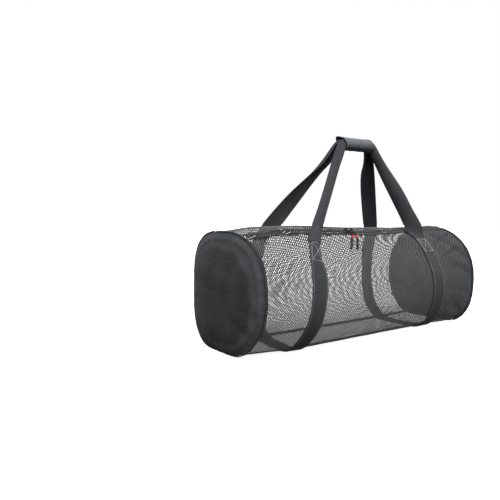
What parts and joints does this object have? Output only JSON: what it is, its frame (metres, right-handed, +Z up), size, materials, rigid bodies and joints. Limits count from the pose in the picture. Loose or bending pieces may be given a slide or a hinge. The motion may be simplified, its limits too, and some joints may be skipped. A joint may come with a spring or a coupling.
{
  "type": "mesh dive gear duffel bag",
  "caption": "Round mesh duffel for wet dive gear with closed ends, a zip along the top and two web handles joined in a padded grip.",
  "frame": {"origin": "on the floor, under the middle of the bag's overall box", "axes": "+X along the bag towards its far end, -Y towards its front, where the zip pulls hang, +Z up"},
  "size_m": [0.8706, 0.3337, 0.5818],
  "materials": {
    "mesh": "PVC-coated polyester net, satin",
    "nylon": "plain-woven nylon, dull sheen",
    "grip_nylon": "padded nylon, dull",
    "webbing": "ribbed polypropylene webbing, satin",
    "binding_tape": "grosgrain tape, dull",
    "zip_tape": "knitted zip tape, dull",
    "zip_coil": "nylon coil, satin",
    "slider_metal": "enamelled die-cast metal, worn to a shine",
    "pull_cord": "braided cord, dull",
    "red_rubber": "moulded, smooth",
    "black_rubber": "moulded, ribbed"
  },
  "bodies": {
    "root": {"mesh_front": "mesh", "mesh_back": "mesh", "mesh_floor": "mesh", "seam_tape_front": "binding_tape", "seam_tape_back": "binding_tape", "end_panel_near": "nylon", "end_panel_far": "nylon", "end_binding_near": "binding_tape", "end_binding_far": "binding_tape", "web_ring_near": "webbing", "web_ring_far": "webbing", "handle_front": "webbing", "handle_back": "webbing", "grip_wrap": "grip_nylon", "zip_tape_front": "zip_tape", "zip_tape_back": "zip_tape", "zip_coil": "zip_coil", "zip_slider_near": "slider_metal", "zip_slider_far": "slider_metal", "pull_loop_near": "pull_cord", "pull_loop_far": "pull_cord", "pull_collar_near": "red_rubber", "pull_collar_far": "red_rubber", "pull_sleeve_near": "black_rubber", "pull_sleeve_far": "black_rubber"}
  },
  "joints": []
}
